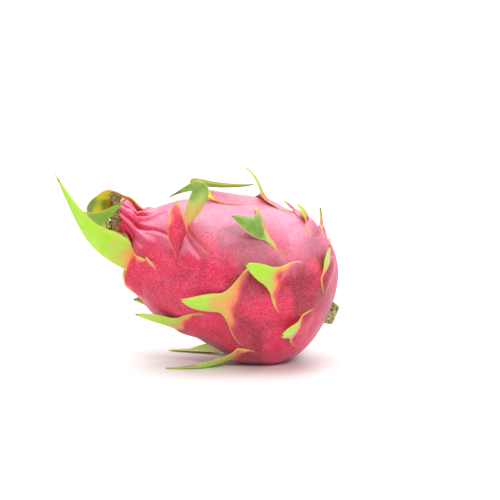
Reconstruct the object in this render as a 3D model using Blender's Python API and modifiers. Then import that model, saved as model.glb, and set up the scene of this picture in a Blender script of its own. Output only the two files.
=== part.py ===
"""A whole dragon fruit lying on its belly: the peel body, its dried flower collar, the stub of
its stem, and every leaf-like scale as a piece of its own. Metres, +Z up, the flower end
towards -X, and the origin in the middle of the flat spot that the fruit rests on."""

from collections import namedtuple
from math import cos, pi, radians, sin, tan

import bmesh
import bpy
import numpy as np

# Driving dimensions of the body, which is turned about its own axis. Stations run along that
# axis, from 0 at the widest section to the flower end; they are negative towards the stem.
BODY_RADIUS = 0.0475
STEM_REACH = 0.040
STEM_FULLNESS = 2.3
SHOULDER_REACH = 0.088
SHOULDER_FULLNESS = 2.15
NECK_RADIUS = 0.0096
NECK_LENGTH = 0.0125
RIM_RADIUS = 0.0114

# The axis is tilted, sags a little under the shoulder and rises again at the neck. Each change
# runs over a span of stations, given as shares of the reach to the shoulder.
AXIS_TILT = radians(24)
SHOULDER_SAG = 0.0045
NECK_RISE = 0.0070
RIM_SKEW = radians(22)
SAG_SPAN = (0.23, 0.68)
RISE_SPAN = (0.91, 1.07)
SKEW_SPAN = (0.89, 1.09)
NECK_SPAN = (0.34, 0.80)
REST_DEPTH = 0.0024

# The dried collar round the flower's scar, and the stub of the stem.
COLLAR_WALL = 0.0040
COLLAR_HEIGHT = 0.0036
COLLAR_OVERHANG = 0.0006
STUB_RADIUS = 0.0065
STUB_LENGTH = 0.0045
JOINT_GAP = 0.0003

# Scales: thickness at the root and, as a share of it, at the tip; the free gap to the peel. A
# blade leaves the peel over the settling share of its length, reaches its full width and cup
# over two more, and falls away in width by a power of its length.
SCALE_THICKNESS = 0.0021
SCALE_TIP_SHARE = 0.42
TIP_HALF_WIDTH = 0.0006
SEAT_GAP = 0.0005
SETTLE_SHARE = 0.34
WIDEN_SHARE = 0.60
CUP_SHARE = 0.50
LEAN_SHARE = 0.30
TWIST_SHARE = 0.40
TAPER = 2.8

BODY_RINGS = 38
BODY_SEGMENTS = 40
MM = 0.001

Scale = namedtuple("Scale", "name station angle aim base blade route cup colour cells "
                   "skew lean twist flare waist", defaults=(0, 0, 0, 0.38, 1.0))

# One row for each scale. station: share of the reach to the shoulder, or to the stem end when
# negative; angle: degrees round the axis, 0 on top and 90 in front; aim: degrees off the axis;
# base and blade: half-widths in mm of the root and of the free blade; route: control points of
# the blade's middle line from the root, in mm along, sideways and outwards; cup: how far its
# margins bend inwards, as a share of the half-width; skew: degrees that the root slants; lean
# and twist: degrees that the blade rolls off the peel and about its own line; flare: the share
# of the length over which the root narrows to the blade; waist: the blade's width at its start.
SCALES = [
    Scale("crown_scale_lance", 0.80, 130, 0, 14, 8.4,
          [(37, -15, 25), (22, -14, 38), (65, -35, 31)], 0.25, "lime", (15, 4),
          skew=28, twist=35, flare=0.4, waist=1.25),
    Scale("crown_scale_hooked", 0.97, -52, 0, 8, 7.6,
          [(9, -9, 33), (69, -8, 18), (23, 26, -2)], 0.20, "yellow", (18, 4), lean=40),
    Scale("crown_scale_low", 0.96, 138, 0, 4.5, 3.5,
          [(8, 0, 7), (14, 0, 11), (22, 0, 14)], 0.20, "yellow", (9, 6)),
    Scale("crown_scale_under", 0.87, 172, 0, 7, 4.0,
          [(11, 2, 12), (18, 2, 18), (26, 3, 22)], 0.25, "yellow", (8, 4)),
    Scale("crown_scale_far", 0.86, -122, 0, 8, 5.0,
          [(14, 0, 10), (26, 0, 18), (40, 3, 30)], 0.25, "lime", (9, 4)),
    Scale("shoulder_scale_front", 0.66, 49, -10, 8, 6.8,
          [(11, 10, -2), (-21, -29, 42), (13, -1, 22)], 0.25, "green", (14, 4),
          skew=28, twist=-58, flare=0.22, waist=0.25),
    Scale("shoulder_scale_small", 0.68, 78, -10, 6.5, 6.5,
          [(5, -11, 6), (9, -15, 14), (13, -26, 15)], 0.20, "pink", (10, 6), skew=20),
    Scale("shoulder_scale_back", 0.58, -62, 0, 12, 6.0,
          [(10, -4, 4), (19, -9, 7), (26, -14, 11)], 0.25, "green", (9, 4)),
    Scale("shoulder_scale_far", 0.62, -102, 0, 13, 6.0,
          [(12, 0, 6), (26, -2, 11), (40, -4, 20)], 0.25, "lime", (9, 4)),
    Scale("shoulder_scale_under", 0.52, -152, 0, 13, 6.0,
          [(9, 0, 2), (17, -3, 3), (24, -6, 5)], 0.25, "lime", (9, 4)),
    Scale("girth_scale_top", 0.43, 2, 0, 10, 3.6,
          [(57, 1, 11), (14, 1, 6), (-7, -2, 10)], 0.80, "yellow", (18, 4), skew=-37),
    Scale("girth_scale_front", 0.23, 35, 0, 12.5, 7.5,
          [(0, 11, 3), (11, 12, 11), (19, 14, 14)], 0.25, "green", (8, 4), skew=32),
    Scale("girth_scale_low", 0.20, 102, 0, 17, 6.5,
          [(13, 5, 4), (20, 7, 7), (30, 6, 8)], 0.25, "lime", (9, 4), skew=12, flare=0.25),
    Scale("girth_scale_under", 0.46, 148, 0, 13, 6.0,
          [(9, 0, 3), (18, 2, 5), (26, 4, 8)], 0.25, "lime", (9, 4)),
    Scale("girth_scale_spike", 0.24, -2, 0, 7.5, 2.4,
          [(6, 5, 3), (8, 4, 14), (20, 6, 20)], 0.15, "lime", (9, 4), skew=50, flare=0.9),
    Scale("girth_scale_back", 0.24, -58, 0, 14, 6.0,
          [(10, -2, 5), (19, -5, 9), (27, -9, 15)], 0.25, "green", (9, 4)),
    Scale("girth_scale_far", 0.22, -112, 0, 15, 6.5,
          [(10, 0, 4), (20, 0, 9), (30, -3, 17)], 0.25, "lime", (9, 4)),
    Scale("belly_scale_front", 0.03, 154, 0, 12, 6.5,
          [(9, 0, 10), (20, 1, 20), (33, 3, 28)], 0.20, "lime", (10, 4)),
    Scale("belly_scale_back", 0.03, -154, 0, 12, 6.5,
          [(9, 0, 10), (20, -1, 20), (32, -4, 27)], 0.20, "lime", (10, 4)),
    Scale("waist_scale_front", -0.05, 74, 0, 12, 6.0,
          [(8, 0, 4), (16, 0, 8), (25, 0, 13)], 0.25, "lime", (8, 4)),
    Scale("waist_scale_point", 0.04, -4, 0, 6, 2.0,
          [(3, 0, 2), (6, 0, 3), (9, 0, 4)], 0.15, "pink", (5, 4)),
    Scale("waist_scale_back", -0.10, -52, 0, 11, 5.0,
          [(8, -1, 4), (15, -2, 8), (22, -4, 13)], 0.25, "green", (8, 4)),
    Scale("waist_scale_far", -0.20, -98, 0, 13, 6.0,
          [(8, 0, 4), (16, 0, 8), (25, -2, 13)], 0.25, "lime", (8, 4)),
    Scale("waist_scale_under", -0.22, -140, 0, 12, 6.0,
          [(9, 0, 4), (18, 0, 8), (27, 0, 13)], 0.25, "lime", (8, 4)),
    Scale("stem_scale_top", -0.12, 8, 0, 9, 5.0,
          [(3, -1, 4), (6, -1, 6), (10, -2, 6)], 0.20, "lime", (6, 4)),
    Scale("stem_scale_dark", -0.36, -12, 0, 6, 2.6,
          [(3, 0, 5), (6, 0, 7), (8, 0, 9)], 0.15, "green", (5, 4)),
    Scale("stem_scale_front", -0.62, 42, 0, 10, 5.0,
          [(6, 0, 5), (11, 0, 9), (16, 0, 13)], 0.20, "lime", (6, 4)),
    Scale("stem_scale_low", -0.58, 104, 0, 10, 5.0,
          [(6, 0, 5), (12, 0, 8), (18, 0, 11)], 0.20, "lime", (6, 4)),
    Scale("stem_scale_back", -0.70, -52, 0, 10, 5.0,
          [(6, 0, 5), (12, 0, 9), (17, 0, 13)], 0.20, "lime", (6, 4)),
    Scale("stem_scale_far", -0.68, -118, 0, 10, 5.0,
          [(6, 0, 5), (12, 0, 8), (18, 0, 11)], 0.20, "lime", (6, 4)),
]

COLOURS = {
    "peel": ((0.66, 0.035, 0.115), 0.42),
    "pink": ((0.72, 0.12, 0.21), 0.42),
    "lime": ((0.42, 0.62, 0.09), 0.40),
    "green": ((0.22, 0.38, 0.06), 0.42),
    "yellow": ((0.62, 0.60, 0.08), 0.40),
    "collar": ((0.24, 0.15, 0.08), 0.85),
    "stub": ((0.30, 0.27, 0.13), 0.80),
}


def smooth(x):
    """Smoothstep: 0 below 0, 1 above 1, and an S between."""
    x = np.clip(x, 0.0, 1.0)
    return x * x * (3.0 - 2.0 * x)


def ramp(z, span):
    """A smoothstep over a span of stations."""
    start, end = span
    return smooth((z / SHOULDER_REACH - start) / (end - start))


def body_radius(z):
    """Half an oval to the stem end; towards the flower a longer oval that runs into the neck."""
    stem = BODY_RADIUS * np.clip(1 - np.abs(z / STEM_REACH) ** STEM_FULLNESS, 0, 1)
    stem = BODY_RADIUS * (stem / BODY_RADIUS) ** (1 / STEM_FULLNESS)
    oval = BODY_RADIUS * np.clip(1 - np.abs(z / SHOULDER_REACH) ** SHOULDER_FULLNESS, 0, 1)
    oval = BODY_RADIUS * (oval / BODY_RADIUS) ** (1 / SHOULDER_FULLNESS)
    neck = NECK_RADIUS + (RIM_RADIUS - NECK_RADIUS) * smooth((z - SHOULDER_REACH) / NECK_LENGTH)
    neck = neck * ramp(z, NECK_SPAN)
    return np.where(z < 0, stem, (oval ** 4 + neck ** 4) ** 0.25)


# Stations against the length of skin from the stem's pole, for steps along the skin.
FINE = np.linspace(-STEM_REACH, SHOULDER_REACH + NECK_LENGTH, 3000)
SKIN_LENGTH = np.hypot(np.diff(FINE), np.diff(body_radius(FINE)))
SKIN_LENGTH = np.concatenate([[0], np.cumsum(SKIN_LENGTH)])


def on_peel(z, angle):
    """The peel's point at a station and an angle, on the straight axis."""
    radius = body_radius(z)
    return np.stack([radius * np.cos(angle), -radius * np.sin(angle), z + 0 * angle], -1)


def bend(points):
    """Carries points of the straight fruit to the sagging, skewed and tilted one."""
    x, y, z = points[..., 0], points[..., 1], points[..., 2]
    along = z + x * tan(RIM_SKEW) * ramp(z, SKEW_SPAN)
    across = x - SHOULDER_SAG * ramp(z, SAG_SPAN) + NECK_RISE * ramp(z, RISE_SPAN)
    rise, run = sin(AXIS_TILT), cos(AXIS_TILT)
    return np.stack([rise * across - run * along, y, run * across + rise * along], -1)


def resting_shift():
    """The move that puts the middle of the belly's flat spot at the origin."""
    z, angle = np.meshgrid(np.linspace(-STEM_REACH, SHOULDER_REACH, 400),
                           np.linspace(0, 2 * pi, 360), indexing="ij")
    skin = bend(on_peel(z, angle)).reshape(-1, 3)
    plane = skin[:, 2].min() + REST_DEPTH
    spot = skin[skin[:, 2] < plane, 0]
    return -np.array([(spot.min() + spot.max()) / 2, 0, plane])


SHIFT = resting_shift()


def placed(points):
    """Points of the straight fruit in their final place."""
    return bend(points) + SHIFT


def clear_of_peel(points):
    """Pushes points that are in the peel or the collar out to the free gap beyond them."""
    x, y, z = points[..., 0], points[..., 1], points[..., 2]
    step = 0.0005
    peel = body_radius(np.maximum(z, -STEM_REACH))
    slope = (body_radius(z + step) - body_radius(z - step)) / (2 * step)
    floor = peel + SEAT_GAP * np.sqrt(1 + np.clip(slope, -2, 2) ** 2)
    rim = SHOULDER_REACH + NECK_LENGTH
    collar = RIM_RADIUS + COLLAR_OVERHANG + 2 * SEAT_GAP
    near_collar = smooth((z - rim + 0.007) / 0.003) * smooth((rim + 0.008 - z) / 0.003)
    floor = np.where(z > rim, 0, floor)
    floor = np.maximum(floor, collar * near_collar)
    reach = np.maximum(np.hypot(x, y), 1e-6)
    grow = np.maximum(floor / reach, 1.0)
    return np.stack([x * grow, y * grow, z], -1)


def scale_sheet(scale, t, v):
    """The inner face of a scale, with t from root to tip and v from margin to margin.

    Its middle line is a cubic Bezier curve in the root's own directions. The root lies on the
    peel, as wide as the base, and blends into the free blade over the settling share."""
    station = scale.station * (SHOULDER_REACH if scale.station > 0 else STEM_REACH)
    angle, aim = radians(scale.angle), radians(scale.aim)
    step = 1e-4
    root = on_peel(np.float64(station), angle)
    uphill = on_peel(np.float64(station + step), angle) - root
    uphill = uphill / np.linalg.norm(uphill)
    around = np.array([-sin(angle), -cos(angle), 0.0])
    along = cos(aim) * uphill + sin(aim) * around
    side = cos(aim) * around - sin(aim) * uphill
    out = np.cross(along, side)

    first, second, third = np.array(scale.route) * MM
    u = t[..., None]
    line = 3 * (1 - u) ** 2 * u * first + 3 * (1 - u) * u ** 2 * second + u ** 3 * third
    speed = 3 * (1 - u) ** 2 * first + 6 * (1 - u) * u * (second - first)
    speed = speed + 3 * u ** 2 * (third - second)
    axes = np.stack([along, side, out])
    middle = root + line @ axes
    tangent = speed @ axes
    tangent = tangent / np.linalg.norm(tangent, axis=-1, keepdims=True)

    roll = radians(scale.lean) * smooth(u / LEAN_SHARE)
    across = np.cos(roll) * side + np.sin(roll) * out
    across = across - (across * tangent).sum(-1, keepdims=True) * tangent
    across = across / np.linalg.norm(across, axis=-1, keepdims=True)
    normal = np.cross(tangent, across)
    twist = radians(scale.twist) * smooth(u / TWIST_SHARE)
    turned = np.cos(twist) * across + np.sin(twist) * normal
    normal = np.cos(twist) * normal - np.sin(twist) * across

    widening = scale.waist + (1 - scale.waist) * smooth(t / WIDEN_SHARE)
    half = scale.blade * MM * widening * (1 - t ** TAPER)
    spare = (scale.base - scale.blade * scale.waist) * MM
    half = half + spare * np.clip(1 - t / scale.flare, 0, 1) ** 2
    half = np.maximum(half, TIP_HALF_WIDTH)
    blade = middle + turned * (half * v)[..., None]
    blade = blade - normal * (scale.cup * smooth(t / CUP_SHARE) * half * v * v)[..., None]

    run, drift = line[..., 0], line[..., 1] + half * v
    length = np.interp(station, FINE, SKIN_LENGTH) + run * cos(aim) - drift * sin(aim)
    length = length - half * v * tan(radians(scale.skew))
    z = np.interp(length, SKIN_LENGTH, FINE) + np.maximum(length - SKIN_LENGTH[-1], 0)
    turn = angle + (run * sin(aim) + drift * cos(aim)) / body_radius(np.float64(station))
    seated = on_peel(z, turn) + out * np.maximum(line[..., 2:], 0)
    weight = smooth(t / SETTLE_SHARE)[..., None]
    return clear_of_peel(seated * (1 - weight) + blade * weight)


def scale_thickness(t):
    """Full thickness at the root, thinning evenly to the tip."""
    return SCALE_THICKNESS * (1 - (1 - SCALE_TIP_SHARE) * t)


def material(name):
    """A plain finish: one colour and one roughness."""
    colour, roughness = COLOURS[name]
    made = bpy.data.materials.get(name)
    if made is None:
        made = bpy.data.materials.new(name)
        made.use_nodes = True
        shader = made.node_tree.nodes["Principled BSDF"]
        shader.inputs["Base Color"].default_value = (*colour, 1.0)
        shader.inputs["Roughness"].default_value = roughness
        shader.inputs["Metallic"].default_value = 0.0
    return made


def add_object(name, mesh_maker, collection, finish=None):
    """A named object whose mesh comes from one bmesh recipe."""
    mesh = bpy.data.meshes.new(name)
    shape = bmesh.new()
    mesh_maker(shape)
    bmesh.ops.recalc_face_normals(shape, faces=shape.faces)
    shape.to_mesh(mesh)
    shape.free()
    mesh.shade_smooth()
    made = bpy.data.objects.new(name, mesh)
    collection.objects.link(made)
    if finish:
        mesh.materials.append(material(finish))
    return made


def move_vertices(shape, mapping):
    """Sends every vertex of a bmesh through a function on whole arrays."""
    shape.verts.ensure_lookup_table()
    old = np.array([vertex.co[:] for vertex in shape.verts])
    for vertex, place in zip(shape.verts, mapping(old)):
        vertex.co = place


def body_shape(shape):
    """A sphere whose latitudes become the body's stations, with a flat end at the rim."""
    bmesh.ops.create_uvsphere(shape, u_segments=BODY_SEGMENTS, v_segments=BODY_RINGS, radius=1.0)

    def mapping(points):
        latitude = np.arccos(np.clip(points[:, 2], -1, 1)) / pi
        angle = np.arctan2(-points[:, 1], points[:, 0])
        end = 1.6 / BODY_RINGS
        rim = SHOULDER_REACH + NECK_LENGTH
        share = np.clip((latitude - end) / (1 - end), 0, 1)
        z = rim - (rim + STEM_REACH) * (0.5 - 0.5 * np.cos(pi * share ** 0.95))
        disc = np.clip(latitude / end, 0, 1)
        skin = on_peel(z, angle)
        skin[:, :2] *= np.where(latitude < end, disc, 1.0)[:, None]
        return placed(skin)

    move_vertices(shape, mapping)


def collar_shape(shape):
    """A ring on the rim: a round tube whose section is squeezed to the collar's wall."""
    outer = RIM_RADIUS + COLLAR_OVERHANG
    middle = outer - COLLAR_WALL / 2
    bmesh.ops.create_grid(shape, x_segments=36, y_segments=8, size=1.0)

    def mapping(points):
        angle = (points[:, 0] + 1) * pi
        section = (points[:, 1] + 1) * pi
        radius = middle + COLLAR_WALL / 2 * np.cos(section)
        height = COLLAR_HEIGHT / 2 * (1 + np.sin(section))
        z = SHOULDER_REACH + NECK_LENGTH + JOINT_GAP + height
        return placed(np.stack([radius * np.cos(angle), -radius * np.sin(angle), z], -1))

    move_vertices(shape, mapping)
    bmesh.ops.remove_doubles(shape, verts=shape.verts, dist=1e-6)


def stub_shape(shape):
    """A short cut cylinder on the stem end."""
    bmesh.ops.create_cone(shape, cap_ends=True, segments=20, radius1=STUB_RADIUS,
                          radius2=STUB_RADIUS, depth=STUB_LENGTH)

    def mapping(points):
        points = points - np.array([0, 0, STEM_REACH + JOINT_GAP + STUB_LENGTH / 2])
        return placed(points)

    move_vertices(shape, mapping)


def make_scale(scale, collection):
    """The scale's inner face as a bent grid, given its thickness outwards by Solidify."""
    columns, rows = scale.cells
    mesh = bpy.data.meshes.new(scale.name)
    shape = bmesh.new()
    bmesh.ops.create_grid(shape, x_segments=columns, y_segments=rows, size=1.0)
    weights = []

    def mapping(points):
        t = (points[:, 0] + 1) / 2
        thickness = scale_thickness(t)
        weights.extend(thickness / SCALE_THICKNESS)
        sheet = placed(scale_sheet(scale, t, points[:, 1]))
        sheet[:, 2] = np.maximum(sheet[:, 2], thickness)
        return sheet

    move_vertices(shape, mapping)
    shape.to_mesh(mesh)
    shape.free()
    mesh.shade_smooth()
    mesh.materials.append(material(scale.colour))
    made = bpy.data.objects.new(scale.name, mesh)
    collection.objects.link(made)
    group = made.vertex_groups.new(name="thickness")
    for index, weight in enumerate(weights):
        group.add([index], float(weight), "REPLACE")
    wall = made.modifiers.new("wall", "SOLIDIFY")
    wall.thickness = SCALE_THICKNESS
    wall.offset = 1.0
    wall.vertex_group = "thickness"
    wall.use_quality_normals = True
    return made


def rest_cutter(collection):
    """A slab whose top is the plane that the fruit rests on."""
    size = 4 * BODY_RADIUS
    made = add_object("rest_cutter", lambda shape: bmesh.ops.create_cube(shape, size=size),
                      collection)
    made.location = (0, 0, -size / 2)
    made.hide_render = True
    made.display_type = "WIRE"
    return made


for old in list(bpy.data.objects):
    bpy.data.objects.remove(old, do_unlink=True)
fruit = bpy.data.collections.new("dragon_fruit")
guides = bpy.data.collections.new("cutters")
bpy.context.scene.collection.children.link(fruit)
bpy.context.scene.collection.children.link(guides)

body = add_object("fruit_body", body_shape, fruit, "peel")
flat = body.modifiers.new("resting_spot", "BOOLEAN")
flat.operation = "DIFFERENCE"
flat.solver = "EXACT"
flat.object = rest_cutter(guides)
add_object("flower_scar_collar", collar_shape, fruit, "collar")
add_object("stem_stub", stub_shape, fruit, "stub")
for row in SCALES:
    make_scale(row, fruit)
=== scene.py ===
"""A whole dragon fruit lying on its belly: rind, leaf-like scales, dried flower collar and stem
stub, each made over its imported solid. Metres, +Z up, the flower end towards -X."""

from collections import namedtuple
from math import cos, pi, radians, sin, tan

import bpy
import numpy as np
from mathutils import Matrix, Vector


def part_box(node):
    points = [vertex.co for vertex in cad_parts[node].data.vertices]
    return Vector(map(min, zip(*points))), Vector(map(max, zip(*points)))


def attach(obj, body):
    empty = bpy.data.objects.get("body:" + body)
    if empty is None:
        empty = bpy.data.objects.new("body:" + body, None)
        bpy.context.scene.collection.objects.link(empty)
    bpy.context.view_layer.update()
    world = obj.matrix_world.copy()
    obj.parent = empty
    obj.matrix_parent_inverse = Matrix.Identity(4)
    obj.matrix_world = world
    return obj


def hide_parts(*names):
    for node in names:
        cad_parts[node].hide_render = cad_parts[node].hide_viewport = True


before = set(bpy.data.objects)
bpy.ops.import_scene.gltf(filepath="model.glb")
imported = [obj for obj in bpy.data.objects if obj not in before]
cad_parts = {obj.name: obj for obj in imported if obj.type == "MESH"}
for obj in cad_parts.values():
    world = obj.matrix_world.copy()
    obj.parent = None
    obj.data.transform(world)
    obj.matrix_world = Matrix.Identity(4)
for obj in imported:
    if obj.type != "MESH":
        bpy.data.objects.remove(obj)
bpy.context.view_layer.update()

# ---- The rind body -----------------------------------------------------------------------------
# One thick leathery peel, grown whole: an oval belly drawn out to a pleated neck. It is waxy and
# finely speckled, and its skin runs on into every scale without a seam.

# Stations run along the straight axis from the widest place towards the flower, in metres; a span
# is a pair of stations as shares of the reach to the shoulder.
MM = 0.001
BODY_RADIUS = 0.0475
STEM_REACH = 0.040
STEM_FULLNESS = 2.3
SHOULDER_REACH = 0.088
SHOULDER_FULLNESS = 2.15
NECK_RADIUS = 0.0096
NECK_LENGTH = 0.0125
RIM_RADIUS = 0.0114
RIM_STATION = SHOULDER_REACH + NECK_LENGTH
AXIS_TILT = radians(24)
SHOULDER_SAG = 0.0045
NECK_RISE = 0.0070
RIM_SKEW = radians(22)
SAG_SPAN = (0.23, 0.68)
RISE_SPAN = (0.91, 1.07)
SKEW_SPAN = (0.89, 1.09)
NECK_SPAN = (0.34, 0.80)
SCAR_FLOOR_SHARES = (0.3, 0.7, 0.97)
BODY_RINGS = 270
BODY_COLUMNS = 340


def smooth(x):
    """Smoothstep: 0 below 0, 1 above 1, and an S between."""
    x = np.clip(x, 0.0, 1.0)
    return x * x * (3.0 - 2.0 * x)


def ramp(z, span):
    """A smoothstep over a span of stations, given as shares of the reach to the shoulder."""
    start, end = span
    return smooth((z / SHOULDER_REACH - start) / (end - start))


def body_radius(z):
    """Half an oval to the stem end; towards the flower a longer oval that runs into the neck:
    the fourth root of oval to the fourth plus neck to the fourth."""
    stem = np.clip(1 - np.abs(z / STEM_REACH) ** STEM_FULLNESS, 0, 1) ** (1 / STEM_FULLNESS)
    oval = np.clip(1 - np.abs(z / SHOULDER_REACH) ** SHOULDER_FULLNESS, 0, 1)
    oval = BODY_RADIUS * oval ** (1 / SHOULDER_FULLNESS)
    neck = NECK_RADIUS + (RIM_RADIUS - NECK_RADIUS) * smooth((z - SHOULDER_REACH) / NECK_LENGTH)
    neck = neck * ramp(z, NECK_SPAN)
    return np.where(z < 0, BODY_RADIUS * stem, (oval ** 4 + neck ** 4) ** 0.25)


def on_peel(z, angle):
    """The peel's point at a station and an angle on the straight axis: radius times cosine
    upwards, minus radius times sine sideways."""
    radius = body_radius(z)
    return np.stack([radius * np.cos(angle), -radius * np.sin(angle), z + 0 * angle], -1)


def bend(points):
    """Carries the straight fruit to the sagging, skewed and tilted one: the axis is shifted
    across by smoothsteps of the station, then both are turned by the tilt."""
    x, y, z = points[..., 0], points[..., 1], points[..., 2]
    along = z + x * tan(RIM_SKEW) * ramp(z, SKEW_SPAN)
    across = x - SHOULDER_SAG * ramp(z, SAG_SPAN) + NECK_RISE * ramp(z, RISE_SPAN)
    rise, run = sin(AXIS_TILT), cos(AXIS_TILT)
    return np.stack([rise * across - run * along, y, run * across + rise * along], -1)


# The bent fruit is set down by its stem end and its back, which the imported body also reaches.
sweep = np.meshgrid(np.linspace(-STEM_REACH, RIM_STATION, 400), np.linspace(0, 2 * pi, 360))
outermost = bend(on_peel(*sweep)).reshape(-1, 3).max(0)
body_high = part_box("fruit_body")[1]
SHIFT = np.array([body_high.x - outermost[0], 0, body_high.z - outermost[2]])

# Stations against the length of skin from the stem's pole, for steps of even length.
fine = -STEM_REACH + (RIM_STATION + STEM_REACH) * (0.5 - 0.5 * np.cos(np.linspace(0, pi, 3000)))
strides = np.hypot(np.diff(fine), np.diff(body_radius(fine)))
skin_length = np.concatenate([[0], np.cumsum(strides)])


def placed(points):
    """Points of the straight fruit in their final place."""
    return bend(points) + SHIFT


def peel_normal(z, angle):
    """The straight peel's outward direction: square to the profile's slope, turned by angle."""
    length = np.interp(z, fine, skin_length)
    step = 0.0004
    ahead = np.interp(length + step, skin_length, fine)
    behind = np.interp(length - step, skin_length, fine)
    run = ahead - behind
    rise = body_radius(ahead) - body_radius(behind)
    size = np.maximum(np.hypot(run, rise), 1e-9)
    run, rise = run / size, rise / size
    return np.stack([run * np.cos(angle), -run * np.sin(angle), -rise + 0 * angle], -1)


def waver(points, length, seed, waves=9):
    """A soft wandering value near -1 to 1: a sum of sine waves with seeded directions and
    phases, each about one given length long."""
    draw = np.random.default_rng(seed)
    total = 0
    for _ in range(waves):
        direction = draw.normal(size=3)
        direction *= draw.uniform(0.7, 1.4) * 2 * pi / length / np.linalg.norm(direction)
        total = total + np.sin(points @ direction + draw.uniform(0, 2 * pi))
    return total / np.sqrt(waves)


def rounded(line, times=3):
    """Cuts a line's corners, keeping its ends: new points at a quarter and three quarters."""
    line = np.array(line, float)
    for _ in range(times):
        near = line[:-1] * 0.75 + line[1:] * 0.25
        far = line[:-1] * 0.25 + line[1:] * 0.75
        inner = np.stack([near, far], 1).reshape(-1, line.shape[1])
        line = np.concatenate([line[:1], inner, line[-1:]])
    return line


def fold_height(points, route, height, width):
    """A ridge, or a groove where the height is negative: a bell curve of the distance to a
    route of (station mm, angle in degrees), faded to nothing at the route's ends."""
    route = rounded(route)
    line = on_peel(route[:, 0] * MM, np.radians(route[:, 1]))
    spread = np.linspace(0, 1, len(line))
    strength = np.sin(pi * np.clip(0.12 + 0.88 * spread, 0, 1)) ** 0.7
    found = np.zeros(points.shape[:-1])
    near = np.abs(points[..., 2] - line[:, 2].mean()) < np.ptp(line[:, 2]) / 2 + 5 * width * MM
    spots = points[near]
    best = np.full(len(spots), 1e9)
    power = np.zeros(len(spots))
    for start, end, begin, finish in zip(line[:-1], line[1:], strength[:-1], strength[1:]):
        course = end - start
        share = np.clip((spots - start) @ course / max(course @ course, 1e-12), 0, 1)
        gap = np.linalg.norm(spots - start - share[:, None] * course, axis=1)
        closer = gap < best
        best = np.where(closer, gap, best)
        power = np.where(closer, begin + (finish - begin) * share, power)
    found[near] = height * MM * power * np.exp(-(best / (width * MM)) ** 2)
    return found


# Folds of the neck and the shoulder: height mm, width mm, and the route of each.
FOLDS = [
    (-1.7, 1.1, [(100, 64), (94, 77), (87, 66), (81, 60), (75, 62), (68, 66)]),
    (1.3, 1.7, [(99, 30), (94, 31), (91, 36), (88, 12), (84, 18), (80, -8), (76, -16)]),
    (1.4, 1.7, [(99, 46), (93, 55), (87, 40), (84, 42), (79, 30), (73, 26), (66, 22)]),
    (-1.2, 1.1, [(99, 38), (94, 43), (89, 26), (85, 28), (80, 14), (74, 8)]),
    (-1.3, 1.2, [(100, 81), (98, 100), (93, 126), (86, 134), (82, 110), (75, 101), (68, 99)]),
    (1.3, 1.8, [(98, 72), (93, 88), (87, 80), (82, 76), (74, 78)]),
    (-0.9, 1.3, [(97, 88), (92, 101), (86, 96), (80, 88)]),
    (1.0, 1.8, [(74, 30), (71, 42), (69, 54), (64, 64), (57, 71), (47, 80)]),
    (-0.9, 1.3, [(71, 36), (67, 50), (62, 58), (55, 68), (47, 77)]),
    (-1.1, 1.4, [(99, 8), (92, 6), (84, -14), (76, -28), (68, -34)]),
    (1.1, 1.8, [(98, -12), (90, -18), (82, -34), (74, -44)]),
    (-1.3, 1.4, [(100, -34), (93, -48), (86, -62), (78, -66), (70, -60)]),
    (1.1, 1.9, [(98, -70), (90, -84), (82, -86), (72, -80)]),
    (-1.2, 1.4, [(100, -90), (93, -104), (85, -100), (76, -92), (66, -90)]),
    (1.1, 1.8, [(98, -124), (90, -134), (82, -140), (74, -136)]),
    (-1.2, 1.4, [(100, -148), (92, -158), (84, -160), (75, -150)]),
    (1.0, 1.7, [(98, 172), (90, 164), (82, 160), (72, 166)]),
]


def relief(z, angle):
    """How far the skin stands off the plain oval: slow and fine swells that fade out at the stem,
    the folds added one by one, and sine waves round the crown as fine pleats."""
    points = on_peel(z, angle)
    swell = 0.42 * MM * waver(points, 0.034, 3) + 0.10 * MM * waver(points, 0.011, 4)
    height = swell * smooth((z + STEM_REACH) / 0.008)
    for deep, width, route in FOLDS:
        height = height + fold_height(points, route, deep, width)
    crown = smooth((z - 0.070) / 0.020) * smooth((RIM_STATION - z) / 0.003)
    pleats = np.sin(11 * angle + 260 * z + 1.1 * np.sin(3 * angle))
    return height + 0.28 * MM * crown * pleats


def skin_points(z, angle, lift=0.0):
    """The finished skin of the straight fruit: the plain peel moved out by relief and lift."""
    rise = relief(z, angle) + lift
    return on_peel(z, angle) + peel_normal(z, angle) * np.asarray(rise)[..., None]


def add_object(name, data):
    """An object that holds the data, linked to the scene at the origin."""
    made = bpy.data.objects.new(name, data)
    bpy.context.scene.collection.objects.link(made)
    return made


def closed_mesh(name, rings, first, last):
    """A mesh object: rings of points joined one to the next in quads, and a fan of triangles
    from one point closing each end. Every ring runs clockwise as seen from the first end."""
    rows, columns = rings.shape[:2]
    index = np.arange(rows * columns).reshape(rows, columns)
    here, there = index[:-1], index[1:]
    quads = np.stack([here, np.roll(here, -1, 1), np.roll(there, -1, 1), there], -1)
    start = np.full(columns, rows * columns)
    fans = [np.stack([start, np.roll(index[0], -1), index[0]], -1),
            np.stack([start + 1, index[-1], np.roll(index[-1], -1)], -1)]
    points = np.concatenate([rings.reshape(-1, 3), [first, last]])
    faces = quads.reshape(-1, 4).tolist() + np.concatenate(fans).tolist()
    mesh = bpy.data.meshes.new(name)
    mesh.from_pydata(points.tolist(), [], faces)
    mesh.shade_smooth()
    return add_object(name, mesh)


def store(piece, name, values, kind="FLOAT", field="value"):
    """Keeps a value or a vector for each point of a piece, for its material to read."""
    layer = piece.data.attributes.new(name, kind, "POINT")
    layer.data.foreach_set(field, values.astype(np.float32).ravel())


def paint(piece, name, values):
    """Stores a value for each point of closed_mesh's rings; an end point takes its ring's mean."""
    store(piece, name, np.concatenate([values.reshape(-1), [values[0].mean(), values[-1].mean()]]))


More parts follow.
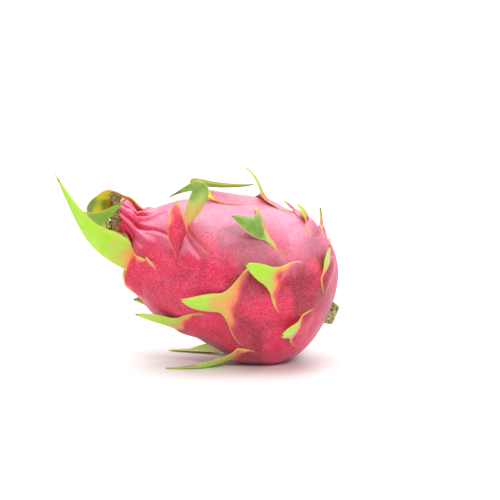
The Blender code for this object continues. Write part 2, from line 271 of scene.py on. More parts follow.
def paint_top_highlight(piece):
    """Stores how far each point faces up, for a painted highlight where the light from above falls."""
    normals = np.zeros(3 * len(piece.data.vertices), np.float32)
    piece.data.vertex_normals.foreach_get("vector", normals)
    store(piece, "bloom", smooth((normals[2::3] - 0.10) / 0.90))


def blush_and_shade_at(station, height):
    """How much pinker the skin is: more towards the neck, and less near the ground, which is painted
    shade.
    """
    return 0.22 * smooth((station - 0.045) / 0.035) - 0.10 * smooth((0.030 - height) / 0.05)


def srgb(red, green, blue):
    """A colour from its 0 to 255 display values, in linear light."""
    share = np.array([red, green, blue]) / 255
    light = np.where(share <= 0.04045, share / 12.92, ((share + 0.055) / 1.055) ** 2.4)
    return (*light.tolist(), 1.0)


def add_node(tree, kind, sockets=(), **settings):
    """A shader node with its settings; each socket, by name or number, takes a value or link."""
    made = tree.nodes.new("ShaderNode" + kind)
    for key, value in settings.items():
        setattr(made, key, value)
    for socket, value in dict(sockets).items():
        if isinstance(value, bpy.types.NodeSocket):
            tree.links.new(value, made.inputs[socket])
        else:
            made.inputs[socket].default_value = value
    return made


def mixed(tree, factor, first, second, mode="MIX"):
    """Two colours mixed by a factor."""
    made = add_node(tree, "Mix", {0: factor, 6: first, 7: second}, data_type="RGBA", blend_type=mode)
    return made.outputs[2]


def ranged(tree, value, start, end, low=0.0, high=1.0):
    """A value carried by a smoothstep from one range to another."""
    made = add_node(tree, "MapRange", {0: value, 1: start, 2: end, 3: low, 4: high},
                    interpolation_type="SMOOTHSTEP")
    return made.outputs[0]


def maths(tree, operation, first, second=0.0):
    """One arithmetic step."""
    return add_node(tree, "Math", {0: first, 1: second}, operation=operation).outputs[0]


def noise(tree, vector, scale, detail=3.0, roughness=0.55, distortion=0.0):
    """Noise about one over scale metres across, from 0 to 1."""
    made = add_node(tree, "TexNoise", {"Vector": vector, "Scale": scale, "Detail": detail,
                                       "Roughness": roughness, "Distortion": distortion})
    return made.outputs["Fac"]


def attribute(tree, name, output="Fac"):
    """A value or a vector stored on the points of the piece."""
    return add_node(tree, "Attribute", attribute_name=name).outputs[output]


def new_group(name, inputs, outputs):
    """An empty shader node group with named sockets, and its two end nodes."""
    group = bpy.data.node_groups.new(name, "ShaderNodeTree")
    for socket, kind in inputs:
        group.interface.new_socket(socket, in_out="INPUT", socket_type="NodeSocket" + kind)
    for socket, kind in outputs:
        group.interface.new_socket(socket, in_out="OUTPUT", socket_type="NodeSocket" + kind)
    return group, group.nodes.new("NodeGroupInput"), group.nodes.new("NodeGroupOutput")


def new_material(name):
    """A material made of nodes, its node tree, and its Principled shader."""
    made = bpy.data.materials.new(name)
    made.use_nodes = True
    return made, made.node_tree, made.node_tree.nodes["Principled BSDF"]


DEEP_RED = srgb(152, 0, 24)
RIND_PINK = srgb(216, 10, 66)
PALE_PINK = srgb(246, 92, 142)
SPECK_AND_HIGHLIGHT_PINK = srgb(248, 170, 200)
SHEEN_PINK = srgb(255, 176, 210)

# Rind: deep red to pink in slow clouds, with fine pale speckle and darker grit, and paler along the
# ridges and where it faces up, both of which are painted highlight.
rind, rind_in, rind_out = new_group(
    "rind_skin", [("Vector", "Vector"), ("Ridge", "Float"), ("Blush", "Float"), ("Bloom", "Float")],
    [("Color", "Color"), ("Gloss", "Float"), ("Height", "Float")])
place = rind_in.outputs["Vector"]
cloud = noise(rind, place, 38, 3, 0.5, 0.4)
drift = noise(rind, place, 130, 3, 0.6)
speck = noise(rind, place, 1900, 2, 0.6)
grit = noise(rind, place, 620, 2, 0.5)
# Blush lifts the depth towards pink; its fall near the ground is painted shade that deepens the red.
depth = ranged(rind, maths(rind, "ADD", cloud, rind_in.outputs["Blush"]), 0.38, 0.64)
colour = mixed(rind, depth, DEEP_RED, RIND_PINK)
colour = mixed(rind, ranged(rind, drift, 0.45, 0.85, 0, 0.45), colour, PALE_PINK)
# Paler pink on the fold crests: painted highlight.
colour = mixed(rind, maths(rind, "MULTIPLY", rind_in.outputs["Ridge"], 0.75), colour, PALE_PINK)
# Painted highlight: up-facing skin is mixed in broken clouds towards pale pink, as if lit from above.
haze = maths(rind, "MULTIPLY", rind_in.outputs["Bloom"], ranged(rind, cloud, 0.25, 0.75, 0.50, 0.80))
colour = mixed(rind, haze, colour, SPECK_AND_HIGHLIGHT_PINK)
colour = mixed(rind, ranged(rind, speck, 0.50, 0.72, 0, 0.40), colour, SPECK_AND_HIGHLIGHT_PINK)
colour = mixed(rind, ranged(rind, grit, 0.52, 0.30, 0, 0.30), colour, DEEP_RED)
rind.links.new(colour, rind_out.inputs["Color"])
rind.links.new(ranged(rind, drift, 0.3, 0.7, 0.36, 0.50), rind_out.inputs["Gloss"])
rind.links.new(maths(rind, "ADD", maths(rind, "MULTIPLY", speck, 0.5), grit),
               rind_out.inputs["Height"])


def skin_material(name):
    """A waxy plant skin: the rind group's gloss and bump, a velvety sheen, and light that passes
    a little way through. Also gives the nodes that a finish goes on from."""
    made, tree, shader = new_material(name)
    where = add_node(tree, "TexCoord").outputs["Object"]
    skin = add_node(tree, "Group", {"Vector": where}, node_tree=rind)
    # The painted highlights on ridges and up-facing skin, and the painted shade near the ground, come
    # from the points.
    for socket in ("Ridge", "Blush", "Bloom"):
        tree.links.new(attribute(tree, socket.lower()), skin.inputs[socket])
    bump = add_node(tree, "Bump", {"Strength": 0.35, "Distance": 0.00022,
                                   "Height": skin.outputs["Height"]})
    tree.links.new(bump.outputs["Normal"], shader.inputs["Normal"])
    tree.links.new(skin.outputs["Gloss"], shader.inputs["Roughness"])
    shader.inputs["Subsurface Weight"].default_value = 0.14
    shader.inputs["Subsurface Radius"].default_value = (1.0, 0.30, 0.20)
    shader.inputs["Subsurface Scale"].default_value = 0.004
    shader.inputs["Sheen Weight"].default_value = 0.32
    shader.inputs["Sheen Roughness"].default_value = 0.50
    shader.inputs["Sheen Tint"].default_value = SHEEN_PINK
    shader.inputs["Specular IOR Level"].default_value = 0.45
    return made, tree, shader, where, skin


# Rings at even lengths of skin, from the scar's flat floor to the stem's pole, pressed flat where
# the fruit rests.
even = np.linspace(skin_length[-1], 0, BODY_RINGS + 2)[1:-1]
stations = np.interp(even, skin_length, fine)[:, None]
turns = np.linspace(0, 2 * pi, BODY_COLUMNS, endpoint=False)[None, :]
stations, turns = np.broadcast_arrays(stations, turns)
side = skin_points(stations, turns)
disc = on_peel(np.full((1, BODY_COLUMNS), RIM_STATION), turns[:1])
scar_floor = np.concatenate([disc * np.array([share, share, 1.0]) for share in SCAR_FLOOR_SHARES])
rings = placed(np.concatenate([scar_floor, side]))
rings[..., 2] = np.maximum(rings[..., 2], 0)
flower_pole = placed(np.array([0, 0, RIM_STATION]))
stem_pole = placed(np.array([0, 0, -STEM_REACH]))
body = closed_mesh("rind_body", rings, flower_pole, stem_pole)
bare_floor = np.zeros(scar_floor.shape[:2])
# Raised folds near the neck are painted paler: a painted highlight on their crests.
ridge = smooth((relief(stations, turns) / MM - 0.15) / 0.9) * smooth((stations - 0.045) / 0.03)
# Pinker towards the neck; the deeper red near the ground is painted shade.
blush = blush_and_shade_at(stations, rings[len(bare_floor):, :, 2])
paint(body, "ridge", np.concatenate([bare_floor, ridge]))
paint(body, "blush", np.concatenate([bare_floor, blush]))
# Painted highlight where the rind faces up.
paint_top_highlight(body)
rind_finish, tree, shader, where, skin = skin_material("rind_peel")
tree.links.new(skin.outputs["Color"], shader.inputs["Base Color"])
body.data.materials.append(rind_finish)
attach(body, "root")
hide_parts("fruit_body")

# ---- The scales --------------------------------------------------------------------------------
# Leathery bracts that grow out of the rind: each starts as a low shield on the skin, lifts off
# as a cupped flap and dries at its tip. They turn from the rind's pink through orange to green.

# A scale's row holds its name; its root's station, as a share of the reach to the shoulder or to
# the stem end, and its angle from the top towards the front; its aim, off the way to the flower;
# half its base's width and half its blade's, in mm; three Bezier points of its middle line after
# the root, as (along, across, out) in mm, of which the last is the tip; the depth of its cup as a
# share of its half width; its colours; its shield's reach back, in mm; the shares of its length
# between which it turns green, and where it dries. Some also have these: skew slants the root,
# lean and twist roll the blade about its line, flare is the share of length in which the base
# narrows to the blade, and waist is how wide the blade is at the root, as a share of its width.
# All angles are in degrees.
Scale = namedtuple("Scale", "name station angle aim base blade route cup slot reach turn dry "
                   "skew lean twist flare waist", defaults=(0, 0, 0, 0.38, 1.0))
SCALES = [
    Scale("crown_scale_lance", 0.80, 130, 0, 14, 8.4,
          [(37, -15, 25), (22, -14, 38), (65, -35, 31)], 0.25, "lime", 26, (0.06, 0.58), 0.97,
          skew=28, twist=35, flare=0.4, waist=1.25),
    Scale("crown_scale_hooked", 0.97, -52, 0, 8, 7.6,
          [(9, -9, 33), (69, -8, 18), (23, 26, -2)], 0.20, "yellow", 16, (-0.08, 0.62), 0.96, lean=40),
    Scale("crown_scale_low", 0.96, 138, 0, 4.5, 3.5,
          [(8, 0, 7), (14, 0, 11), (22, 0, 14)], 0.20, "yellow", 12, (-0.60, 0.60), 0.93),
    Scale("crown_scale_under", 0.87, 172, 0, 7, 4.0,
          [(11, 2, 12), (18, 2, 18), (26, 3, 22)], 0.25, "yellow", 18, (-0.40, 0.60), 0.93),
    Scale("crown_scale_far", 0.86, -122, 0, 8, 5.0,
          [(14, 0, 10), (26, 0, 18), (40, 3, 30)], 0.25, "lime", 20, (-0.30, 0.50), 0.95),
    Scale("shoulder_scale_front", 0.66, 49, -10, 8, 6.8,
          [(11, 10, -2), (-21, -29, 42), (13, -1, 22)], 0.25, "green", 26, (0.00, 0.85), 0.93,
          skew=28, twist=-58, flare=0.22, waist=0.25),
    Scale("shoulder_scale_small", 0.68, 78, -10, 6.5, 6.5,
          [(5, -11, 6), (9, -15, 14), (13, -26, 15)], 0.20, "pink", 22, (0.55, 1.20), 0.97, skew=20),
    Scale("shoulder_scale_back", 0.58, -62, 0, 12, 6.0,
          [(10, -4, 4), (19, -9, 7), (26, -14, 11)], 0.25, "green", 24, (0.00, 0.45), 0.92),
    Scale("shoulder_scale_far", 0.62, -102, 0, 13, 6.0,
          [(12, 0, 6), (26, -2, 11), (40, -4, 20)], 0.25, "lime", 24, (-0.10, 0.50), 0.94),
    Scale("shoulder_scale_under", 0.52, -152, 0, 13, 6.0,
          [(9, 0, 2), (17, -3, 3), (24, -6, 5)], 0.25, "lime", 24, (-0.10, 0.50), 0.93),
    Scale("girth_scale_top", 0.43, 2, 0, 10, 3.6,
          [(57, 1, 11), (14, 1, 6), (-7, -2, 10)], 0.80, "yellow", 26, (0.14, 0.44), 0.97, skew=-37),
    Scale("girth_scale_front", 0.23, 35, 0, 12.5, 7.5,
          [(0, 11, 3), (11, 12, 11), (19, 14, 14)], 0.25, "green", 22, (-0.12, 0.30), 0.95, skew=32),
    Scale("girth_scale_low", 0.20, 102, 0, 17, 6.5,
          [(13, 5, 4), (20, 7, 7), (30, 6, 8)], 0.25, "lime", 24, (-0.30, 0.85), 0.95,
          skew=12, flare=0.25),
    Scale("girth_scale_under", 0.46, 148, 0, 13, 6.0,
          [(9, 0, 3), (18, 2, 5), (26, 4, 8)], 0.25, "lime", 24, (-0.20, 0.45), 0.94),
    Scale("girth_scale_spike", 0.24, -2, 0, 7.5, 2.4,
          [(6, 5, 3), (8, 4, 14), (20, 6, 20)], 0.15, "lime", 14, (0.10, 0.70), 0.97,
          skew=50, flare=0.9),
    Scale("girth_scale_back", 0.24, -58, 0, 14, 6.0,
          [(10, -2, 5), (19, -5, 9), (27, -9, 15)], 0.25, "green", 24, (-0.05, 0.45), 0.93),
    Scale("girth_scale_far", 0.22, -112, 0, 15, 6.5,
          [(10, 0, 4), (20, 0, 9), (30, -3, 17)], 0.25, "lime", 24, (-0.10, 0.50), 0.94),
    Scale("belly_scale_front", 0.03, 154, 0, 12, 6.5,
          [(9, 0, 10), (20, 1, 20), (33, 3, 28)], 0.20, "lime", 22, (-0.20, 0.45), 0.95),
    Scale("belly_scale_back", 0.03, -154, 0, 12, 6.5,
          [(9, 0, 10), (20, -1, 20), (32, -4, 27)], 0.20, "lime", 22, (-0.20, 0.45), 0.95),
    Scale("waist_scale_front", -0.05, 74, 0, 12, 6.0,
          [(8, 0, 4), (16, 0, 8), (25, 0, 13)], 0.25, "lime", 20, (-0.15, 0.55), 0.93),
    Scale("waist_scale_point", 0.04, -4, 0, 6, 2.0,
          [(3, 0, 2), (6, 0, 3), (9, 0, 4)], 0.15, "pink", 14, (0.55, 1.10), 0.95),
    Scale("waist_scale_back", -0.10, -52, 0, 11, 5.0,
          [(8, -1, 4), (15, -2, 8), (22, -4, 13)], 0.25, "green", 20, (-0.05, 0.50), 0.92),
    Scale("waist_scale_far", -0.20, -98, 0, 13, 6.0,
          [(8, 0, 4), (16, 0, 8), (25, -2, 13)], 0.25, "lime", 20, (-0.10, 0.55), 0.93),
    Scale("waist_scale_under", -0.22, -140, 0, 12, 6.0,
          [(9, 0, 4), (18, 0, 8), (27, 0, 13)], 0.25, "lime", 20, (-0.10, 0.55), 0.93),
    Scale("stem_scale_top", -0.12, 8, 0, 9, 5.0,
          [(3, -1, 4), (6, -1, 6), (10, -2, 6)], 0.20, "lime", 15, (0.20, 0.80), 0.92),
    Scale("stem_scale_dark", -0.36, -12, 0, 6, 2.6,
          [(3, 0, 5), (6, 0, 7), (8, 0, 9)], 0.15, "green", 12, (0.05, 0.60), 0.85),
    Scale("stem_scale_front", -0.62, 42, 0, 10, 5.0,
          [(6, 0, 5), (11, 0, 9), (16, 0, 13)], 0.20, "lime", 16, (-0.10, 0.60), 0.90),
    Scale("stem_scale_low", -0.58, 104, 0, 10, 5.0,
          [(6, 0, 5), (12, 0, 8), (18, 0, 11)], 0.20, "lime", 16, (-0.10, 0.60), 0.90),
    Scale("stem_scale_back", -0.70, -52, 0, 10, 5.0,
          [(6, 0, 5), (12, 0, 9), (17, 0, 13)], 0.20, "lime", 16, (-0.10, 0.60), 0.90),
    Scale("stem_scale_far", -0.68, -118, 0, 10, 5.0,
          [(6, 0, 5), (12, 0, 8), (18, 0, 11)], 0.20, "lime", 16, (-0.10, 0.60), 0.90),
]
SCALE_THICKNESS = 0.0021
TIP_SHARE = 0.42
MARGIN_THIN = 0.62
TIP_HALF_WIDTH = 0.0004
SEAT_GAP = 0.0005
SETTLE_SHARE = 0.34
TAPER = 2.8
COLLAR_RADIUS = 0.0120
COLLAR_BEHIND = 0.007
COLLAR_BEYOND = 0.008
COLLAR_FADE = 0.003
SINK = 0.0004
ROOT_DEPTH = 0.0014
ROOT_SHARE = 0.10
SHIELD_ROWS = 30
FLAP_ROWS = 64
ROUND = 52


def root_station(scale):
    """The station of a scale's root, in metres."""
    return scale.station * (SHOULDER_REACH if scale.station > 0 else STEM_REACH)


def clear_of_peel(points):
    """Pushes points that are in the peel or the collar out to a small gap beyond them: a point
    nearer the axis than the least radius at its station is scaled up to it."""
    x, y, z = points[..., 0], points[..., 1], points[..., 2]
    step = 0.0005
    peel = body_radius(np.maximum(z, -STEM_REACH))
    slope = (body_radius(z + step) - body_radius(z - step)) / (2 * step)
    least = peel + SEAT_GAP * np.sqrt(1 + np.clip(slope, -2, 2) ** 2)
    near_collar = smooth((z - RIM_STATION + COLLAR_BEHIND) / COLLAR_FADE)
    near_collar = near_collar * smooth((RIM_STATION + COLLAR_BEYOND - z) / COLLAR_FADE)
    least = np.where(z > RIM_STATION, 0, least)
    least = np.maximum(least, (COLLAR_RADIUS + 2 * SEAT_GAP) * near_collar)
    reach = np.maximum(np.hypot(x, y), 1e-6)
    grow = np.maximum(least / reach, 1.0)
    return np.stack([x * grow, y * grow, z], -1)


def flap_sheet(scale, t, v):
    """The inner face of a flap, t from root to tip and v from margin to margin. Its middle line
    is a cubic Bezier curve in the root's own directions, its width falls by a power of t from the
    blade's and the flaring base's, and its width's direction is rolled by lean and then by twist
    as t grows. The root lies on the peel, slanted by skew, and blends by a smoothstep into the
    free blade, whose margins bend in by v squared."""
    station = root_station(scale)
    angle, aim = radians(scale.angle), radians(scale.aim)
    root = on_peel(np.float64(station), angle)
    uphill = on_peel(np.float64(station + 1e-4), angle) - root
    uphill = uphill / np.linalg.norm(uphill)
    around = np.array([-sin(angle), -cos(angle), 0.0])
    along = cos(aim) * uphill + sin(aim) * around
    across = cos(aim) * around - sin(aim) * uphill
    out = np.cross(along, across)

    first, second, third = np.array(scale.route) * MM
    u = t[..., None]
    line = 3 * (1 - u) ** 2 * u * first + 3 * (1 - u) * u ** 2 * second + u ** 3 * third
    speed = 3 * (1 - u) ** 2 * first + 6 * (1 - u) * u * (second - first)
    speed = speed + 3 * u ** 2 * (third - second)
    axes = np.stack([along, across, out])
    middle = root + line @ axes
    tangent = speed @ axes
    tangent = tangent / np.linalg.norm(tangent, axis=-1, keepdims=True)
    roll = radians(scale.lean) * smooth(u / 0.3)
    wide = np.cos(roll) * across + np.sin(roll) * out
    wide = wide - (wide * tangent).sum(-1, keepdims=True) * tangent
    wide = wide / np.linalg.norm(wide, axis=-1, keepdims=True)
    normal = np.cross(tangent, wide)
    twist = radians(scale.twist) * smooth(u / 0.4)
    wide, normal = (np.cos(twist) * wide + np.sin(twist) * normal,
                    np.cos(twist) * normal - np.sin(twist) * wide)

    half = scale.blade * MM * (scale.waist + (1 - scale.waist) * smooth(t / 0.6)) * (1 - t ** TAPER)
    spare = (scale.base - scale.blade * scale.waist) * MM
    half = half + spare * np.clip(1 - t / scale.flare, 0, 1) ** 2
    half = np.maximum(half, TIP_HALF_WIDTH)
    blade = middle + wide * (half * v)[..., None]
    blade = blade - normal * (scale.cup * smooth(t / 0.5) * half * v * v)[..., None]

    run, drift = line[..., 0], line[..., 1] + half * v
    length = np.interp(station, fine, skin_length) + run * cos(aim) - drift * sin(aim)
    length = length - half * v * tan(radians(scale.skew))
    z = np.interp(length, skin_length, fine) + np.maximum(length - skin_length[-1], 0)
    turn = angle + (run * sin(aim) + drift * cos(aim)) / body_radius(np.float64(station))
    seated = on_peel(z, turn) + out * np.maximum(line[..., 2:], 0)
    weight = smooth(t / SETTLE_SHARE)[..., None]
    return clear_of_peel(seated * (1 - weight) + blade * weight)


def shield_sheet(scale, w, v):
    """The skin under a scale's shield, w from -1 at its point to 0 at the flap's root: the peel,
    stepped back along its own length. It is as wide as the base at the root, goes on widening at
    the flap's own slope, and is rounded off by a quarter of an oval at its point."""
    station = root_station(scale)
    angle, aim = radians(scale.angle), radians(scale.aim)
    spread = 2 * (scale.base - scale.blade * scale.waist) / scale.flare
    spread = spread / (3 * np.linalg.norm(scale.route[0]))
    half = (scale.base + spread * scale.reach * -w * (1 + w)) * MM
    half = half * np.sqrt(np.clip(1 - (np.clip(-w - 0.35, 0, 1) / 0.65) ** 2, 0, 1))
    back = -w * scale.reach * MM
    start = np.interp(station, fine, skin_length)
    length = start - back * cos(aim) - half * v * (sin(aim) + tan(radians(scale.skew)))
    z = np.interp(length, skin_length, fine)
    wide = np.maximum(body_radius(z), 0.35 * body_radius(np.float64(station)))
    turn = angle + (half * v * cos(aim) - back * sin(aim)) / wide
    lift = SEAT_GAP * (1 + w) + relief(z, turn) * smooth(-w / 0.35)
    return on_peel(z, turn) + peel_normal(z, turn) * lift[..., None]


def thickness_at(w):
    """How thick a flap is along its middle, thinner by an even slope to the tip."""
    return SCALE_THICKNESS * (1 - (1 - TIP_SHARE) * np.clip(w, 0, 1))


def reference(scale, w, v):
    """The placed sheet that a scale's two faces are measured from, kept above the ground."""
    straight = np.where((w < 0)[..., None], shield_sheet(scale, np.minimum(w, 0), v),
                        flap_sheet(scale, np.clip(w, 0, 1), v))
    found = placed(straight)
    found[..., 2] = np.maximum(found[..., 2], thickness_at(w) * (w >= 0))
    return found


def scale_rings(scale):
    """Rings round a scale from its shield's point to its tip. The outer face stands off the
    reference by the thickness, thinner to the margins and the tip and sinking into the skin
    along the shield; the inner face starts under the skin and comes out of it past the root."""
    w = np.concatenate([np.linspace(-0.985, 0, SHIELD_ROWS, endpoint=False),
                        np.linspace(0, 1, FLAP_ROWS) ** 0.9])[:, None]
    theta = np.linspace(0, 2 * pi, ROUND, endpoint=False)[None, :]
    w, theta = np.broadcast_arrays(w, theta)
    v = np.cos(theta)
    base = reference(scale, w, v)
    step = 0.006
    ahead = reference(scale, np.minimum(w + step, 1), v) - reference(scale, w - step, v)
    wide = reference(scale, w, np.minimum(v + step, 1)) - reference(scale, w, np.maximum(v - step, -1))
    normal = np.cross(ahead, wide)
    normal = normal / np.maximum(np.linalg.norm(normal, axis=-1, keepdims=True), 1e-12)

    t = np.clip(w, 0, 1)
    hold = smooth(1 + w)
    full = thickness_at(w) * (1 - MARGIN_THIN * v * v)
    full = full * (1 - 0.6 * smooth((t - 0.94) / 0.06))
    outer = full * hold ** 1.2 - (SINK + SEAT_GAP * (1 + w)) * (1 - hold) * (w < 0)
    inner = np.where(w < 0, -ROOT_DEPTH, -ROOT_DEPTH * (1 - smooth(t / ROOT_SHARE)))
    share = 0.5 + 0.5 * np.sign(np.sin(theta)) * np.abs(np.sin(theta)) ** 0.6
    found = base + normal * (inner + (outer - inner) * share)[..., None]
    found[..., 2] = np.maximum(found[..., 2], 0)
    return found, w, v, theta


def turning(scale, w, v, points):
    """How far a point has turned green, 0 to 1: along the scale, sooner at its margins."""
    start, end = scale.turn
    wander = 0.08 * waver(points, 0.012, len(scale.name))
    return smooth((w + 0.14 * np.abs(v) ** 3 + wander - start) / (end - start))


GREENS = {
    "pink": [srgb(238, 84, 108), srgb(240, 116, 96), srgb(206, 196, 92), srgb(150, 176, 58)],
    "lime": [srgb(240, 104, 96), srgb(226, 160, 84), srgb(190, 200, 80), srgb(168, 216, 44)],
    "green": [srgb(236, 96, 90), srgb(214, 178, 96), srgb(178, 196, 88), srgb(116, 156, 44)],
    "yellow": [srgb(250, 88, 66), srgb(255, 200, 60), srgb(232, 232, 60), srgb(124, 166, 28)],
}
MARGINS = {"pink": srgb(222, 112, 92), "lime": srgb(204, 200, 84), "green": srgb(190, 200, 92),
           "yellow": srgb(226, 150, 84)}
BLOOM = srgb(206, 220, 184)
DRY_BROWN = srgb(104, 72, 44)


def scale_material(slot):
    """The rind's skin, turned by the painted greening through a ramp of four colours, with a
    pale bloom in clouds, fine grain along the blade, yellow margins and a dry tip."""
    made, tree, shader, where, skin = skin_material("rind_scale_" + slot)
    greening = attribute(tree, "greening")
    hues = add_node(tree, "ValToRGB", {"Fac": greening})
    ramp_stops = hues.color_ramp
    for place, colour in zip((0.10, 0.32, 0.62, 0.95), GREENS[slot]):
        stop = ramp_stops.elements.new(place)
        stop.color = colour
    ramp_stops.elements.remove(ramp_stops.elements[0])
    ramp_stops.elements.remove(ramp_stops.elements[-1])
    colour = mixed(tree, ranged(tree, greening, 0.02, 0.24), skin.outputs["Color"], hues.outputs["Color"])
    streak = noise(tree, attribute(tree, "grain", "Vector"), 1.0, 4, 0.6)
    colour = mixed(tree, ranged(tree, streak, 0.42, 0.66, 0, 0.20), colour, MARGINS["lime"], "MULTIPLY")
    edge = maths(tree, "MULTIPLY", attribute(tree, "margin"), 0.85)
    colour = mixed(tree, edge, colour, MARGINS[slot])
    haze = ranged(tree, noise(tree, where, 150, 4, 0.6, 0.3), 0.42, 0.78)
    haze = maths(tree, "MULTIPLY", haze, ranged(tree, greening, 0.5, 1.0, 0.0, 0.22))
    colour = mixed(tree, haze, colour, BLOOM)
    colour = mixed(tree, attribute(tree, "dryness"), colour, DRY_BROWN)
    tree.links.new(colour, shader.inputs["Base Color"])
    shader.inputs["Subsurface Radius"].default_value = (0.8, 0.8, 0.25)
    shader.inputs["Subsurface Weight"].default_value = 0.22
    return made


finishes = {slot: scale_material(slot) for slot in GREENS}
for scale in SCALES:
    rings, w, v, theta = scale_rings(scale)
    piece = closed_mesh("rind_" + scale.name, rings, rings[0].mean(0), rings[-1].mean(0))
    piece.data.materials.append(finishes[scale.slot])
    crumble = 0.03 * waver(rings, 0.004, len(scale.name) + 50)
    paint(piece, "greening", turning(scale, w, v, rings))
    paint(piece, "margin", smooth((np.abs(v) - 0.88) / 0.12) * smooth((w + 0.6) / 0.5))
    paint(piece, "dryness", smooth((w + crumble - scale.dry) / 0.035) * 0.9)
    paint(piece, "ridge", 0 * v)
    # The scale's rind colour takes the same painted shade near the ground.
    paint(piece, "blush", blush_and_shade_at(root_station(scale), rings[..., 2]))
    # Painted highlight on the scale's up-facing skin, as on the rind.
    paint_top_highlight(piece)
    # The grain runs along the blade in long narrow streaks, other ones on the inner face.
    grain = np.stack([v * 9, w * 2.2, np.where(np.sin(theta) < 0, 7.0, 0.0)], -1)
    grain = np.concatenate([grain.reshape(-1, 3), grain[0, :1], grain[-1, :1]])
    store(piece, "grain", grain, "FLOAT_VECTOR", "vector")
    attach(piece, "root")
    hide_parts(scale.name)

# ---- The flower scar's collar ------------------------------------------------------------------
# What is left of the dried flower: a cracked brown ring of dead tissue round a hollow scar. It
# grew on the rim of the neck and grips it with a ragged skirt.

# The section's points are (share of the collar's radius, height in metres above the rim).
COLLAR_SECTION = [(0.00, 0.0006), (0.45, 0.0005), (0.66, 0.0010), (0.74, 0.0026), (0.80, 0.0036),
                  (0.88, 0.0039), (0.97, 0.0034), (1.02, 0.0018), (1.04, 0.0000), (1.03, -0.0014),
                  (0.99, -0.0022), (0.93, -0.0016), (0.90, 0.0000), (0.50, -0.0006)]
COLLAR_COLUMNS = 220
GROWN_GAP = 0.0003
COLLAR_DARK = srgb(74, 54, 34)
COLLAR_TAN = srgb(178, 148, 104)
COLLAR_OLIVE = srgb(122, 108, 56)


def turned_rings(section, radius, start, columns, ragged):
    """A section of (share of radius, height) carried round the axis from a station, with its
    corners rounded, and roughened outwards by ragged, a function of the turn and the share."""
    line = rounded(section, 3)
    angle = np.linspace(0, 2 * pi, columns, endpoint=False)[None, :]
    share, height = line[:, :1], line[:, 1:]
    reach, tall = ragged(angle, share, height)
    across = radius * share * reach
    return np.stack([across * np.cos(angle), -across * np.sin(angle), start + tall + 0 * angle], -1)


def collar_rags(angle, share, height):
    """Ribs round the ring by sums of sines, a torn top edge, and a skirt of uneven length."""
    rim = smooth((share - 0.55) / 0.3)
    ribs = 0.030 * np.sin(23 * angle + 2 * np.sin(3 * angle)) + 0.022 * np.sin(41 * angle + 1.3)
    torn = 1 + 0.22 * np.sin(5 * angle + 0.7) + 0.16 * np.sin(13 * angle) + 0.12 * np.sin(29 * angle + 2)
    return 1 + rim * ribs, height * np.where(rim > 0, 1 + (torn - 1) * rim, 1.0)


def dried_material(name, dark, middle, light, roughness):
    """Dead plant fibre: blotches of two colours, dark pits, and deep cracks as bump."""
    made, tree, shader = new_material(name)
    where = add_node(tree, "TexCoord").outputs["Object"]
    blotch = noise(tree, where, 260, 4, 0.65, 0.6)
    pits = noise(tree, where, 900, 3, 0.7)
    colour = mixed(tree, ranged(tree, blotch, 0.38, 0.56), middle, light)
    colour = mixed(tree, ranged(tree, pits, 0.54, 0.40), colour, dark)
    tree.links.new(colour, shader.inputs["Base Color"])
    bump = add_node(tree, "Bump", {"Strength": 0.9, "Distance": 0.0006, "Height": pits})
    tree.links.new(bump.outputs["Normal"], shader.inputs["Normal"])
    shader.inputs["Roughness"].default_value = roughness
    shader.inputs["Specular IOR Level"].default_value = 0.2
    return made


rings = placed(turned_rings(COLLAR_SECTION, COLLAR_RADIUS, RIM_STATION + GROWN_GAP, COLLAR_COLUMNS,
                            collar_rags))
collar = closed_mesh("dried_collar", rings, rings[0].mean(0), rings[-1].mean(0))
collar.data.materials.append(dried_material("dried_fibre", COLLAR_DARK, COLLAR_OLIVE, COLLAR_TAN, 0.88))
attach(collar, "root")
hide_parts("flower_scar_collar")

# ---- The stem stub -----------------------------------------------------------------------------
# The cut end of the woody stem, left in the dimple of the stem end: a short three-cornered peg
# with a pale pith, cut square.

STUB_RADIUS = 0.0065
STUB_LENGTH = 0.0045
# The section's points are shares of the stub's radius and, away from the fruit, of its length.
STUB_SECTION = [(0.00, 1.00), (0.42, 0.98), (0.78, 1.00), (0.92, 0.92), (0.97, 0.60), (1.0, 0.25),
                (1.08, 0.00), (1.02, -0.25), (0.60, -0.35)]
STUB_COLUMNS = 120
BARK_DARK = srgb(92, 84, 44)
BARK_OLIVE = srgb(150, 146, 84)
PITH_PALE = srgb(196, 186, 136)


def stub_ridges(angle, share, height):
    """Three soft corners and fine ridges round the peg, by cosine and sine; heights are kept."""
    return 1 + 0.07 * np.cos(3 * angle + 0.4) + 0.025 * np.sin(17 * angle), height


section = [(share, -height * STUB_LENGTH) for share, height in STUB_SECTION]
rings = turned_rings(section, STUB_RADIUS, -STEM_REACH - GROWN_GAP, STUB_COLUMNS, stub_ridges)
rings = placed(rings)[::-1]
stub = closed_mesh("stem_stub_wood", rings, rings[0].mean(0), rings[-1].mean(0))
stub.data.materials.append(dried_material("stem_wood", BARK_DARK, BARK_OLIVE, PITH_PALE, 0.8))
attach(stub, "root")
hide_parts("stem_stub")

# ---- The white studio --------------------------------------------------------------------------
# A wide white table, one large soft light overhead, a small one at the front right, weak ones at
# the left and the back, and a long lens that looks slightly down on the fruit's side.

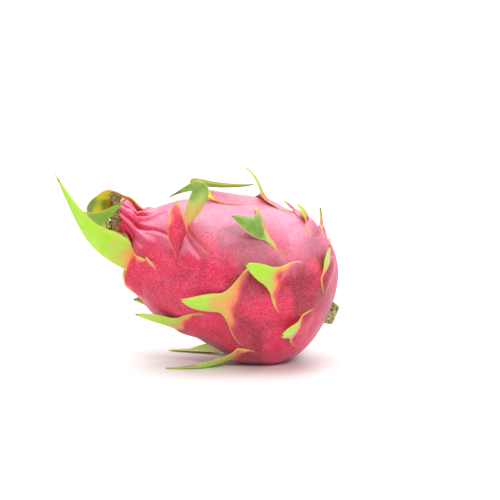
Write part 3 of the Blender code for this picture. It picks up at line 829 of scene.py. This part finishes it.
TABLE_REACH = 40.0
sides = (-TABLE_REACH, TABLE_REACH)
table_mesh = bpy.data.meshes.new("studio_table")
table_mesh.from_pydata([(x, y, 0.0) for x in sides for y in sides], [], [(0, 2, 3, 1)])
table = add_object("studio_table", table_mesh)
paper, paper_tree, paper_shader = new_material("white_paper")
paper_shader.inputs["Base Color"].default_value = (0.92, 0.92, 0.92, 1)
paper_shader.inputs["Roughness"].default_value = 0.5
paper_shader.inputs["Specular IOR Level"].default_value = 0.2
table_mesh.materials.append(paper)


def soft_light(name, place, target, size, power):
    """A square area light that faces a point."""
    lamp = bpy.data.lights.new(name, "AREA")
    lamp.shape = "SQUARE"
    lamp.size = size
    lamp.energy = power
    made = add_object(name, lamp)
    made.location = place
    aim = Vector(target) - Vector(place)
    made.rotation_euler = aim.to_track_quat("-Z", "Y").to_euler()


soft_light("overhead_softbox", (-0.1, 0.5, 2.2), (0, 0, 0.05), 3.0, 68)
soft_light("key_softbox", (0.50, -1.13, 0.86), (0, 0, 0.06), 0.26, 8.0)
soft_light("left_fill", (-1.3, -0.9, 0.35), (0, 0, 0.05), 0.9, 2.5)
soft_light("back_light", (0.3, 1.4, 0.9), (0, 0, 0.06), 0.8, 5)

world = bpy.data.worlds.new("studio_air")
world.use_nodes = True
world.node_tree.nodes["Background"].inputs["Color"].default_value = (1, 1, 1, 1)
world.node_tree.nodes["Background"].inputs["Strength"].default_value = 0.45
bpy.context.scene.world = world
bpy.context.scene.view_settings.view_transform = "Standard"

CAMERA_RISE = radians(10)
CAMERA_DISTANCE = 6.0
VIEW_WIDTH = 0.3025
VIEW_ACROSS = -0.0084
VIEW_UP = 0.0665
upward = Vector((0, sin(CAMERA_RISE), cos(CAMERA_RISE)))
backward = Vector((0, -cos(CAMERA_RISE), sin(CAMERA_RISE)))
aim_point = Vector((VIEW_ACROSS, 0, 0)) + upward * VIEW_UP
lens = bpy.data.cameras.new("camera")
lens.lens = lens.sensor_width * CAMERA_DISTANCE / VIEW_WIDTH
camera = add_object("camera", lens)
camera.location = aim_point + backward * CAMERA_DISTANCE
camera.rotation_euler = (-backward).to_track_quat("-Z", "Y").to_euler()
bpy.context.scene.camera = camera
